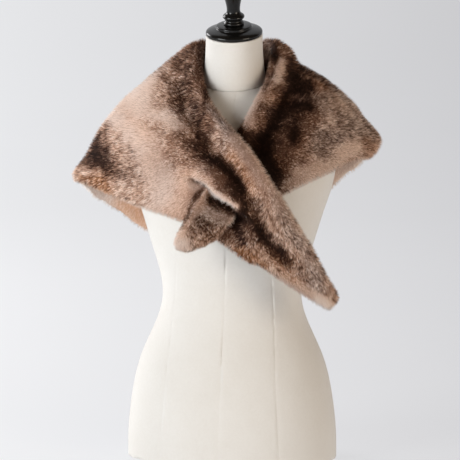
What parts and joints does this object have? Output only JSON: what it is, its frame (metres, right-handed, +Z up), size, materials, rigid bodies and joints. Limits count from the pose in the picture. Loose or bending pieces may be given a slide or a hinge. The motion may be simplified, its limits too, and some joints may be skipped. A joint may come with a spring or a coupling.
{
  "type": "fur collar wrap on a dress form",
  "caption": "Doubled fur collar wrap, closed by its left end pulled through a slit in its right front, on a limbless linen dress form with a turned black neck cap and finial.",
  "frame": {"origin": "centre of the dress form's flat base, which is the lowest face of the part", "axes": "+Z up, the form faces -Y, so the wearer's right is -X and the wearer's left is +X"},
  "size_m": [0.5199, 0.3688, 0.8071],
  "materials": {
    "fur": "dense short plush fur, mottled beige to dark brown",
    "linen": "taut off-white linen with flat seams",
    "black_wood": "turned wood in glossy black lacquer"
  },
  "bodies": {
    "root": {"fur_back": "fur", "fur_right_front": "fur", "fur_right_end": "fur", "fur_left_front": "fur", "fur_left_end": "fur", "form_torso": "linen", "form_neck": "linen", "neck_cap": "black_wood", "neck_finial": "black_wood"}
  },
  "joints": []
}
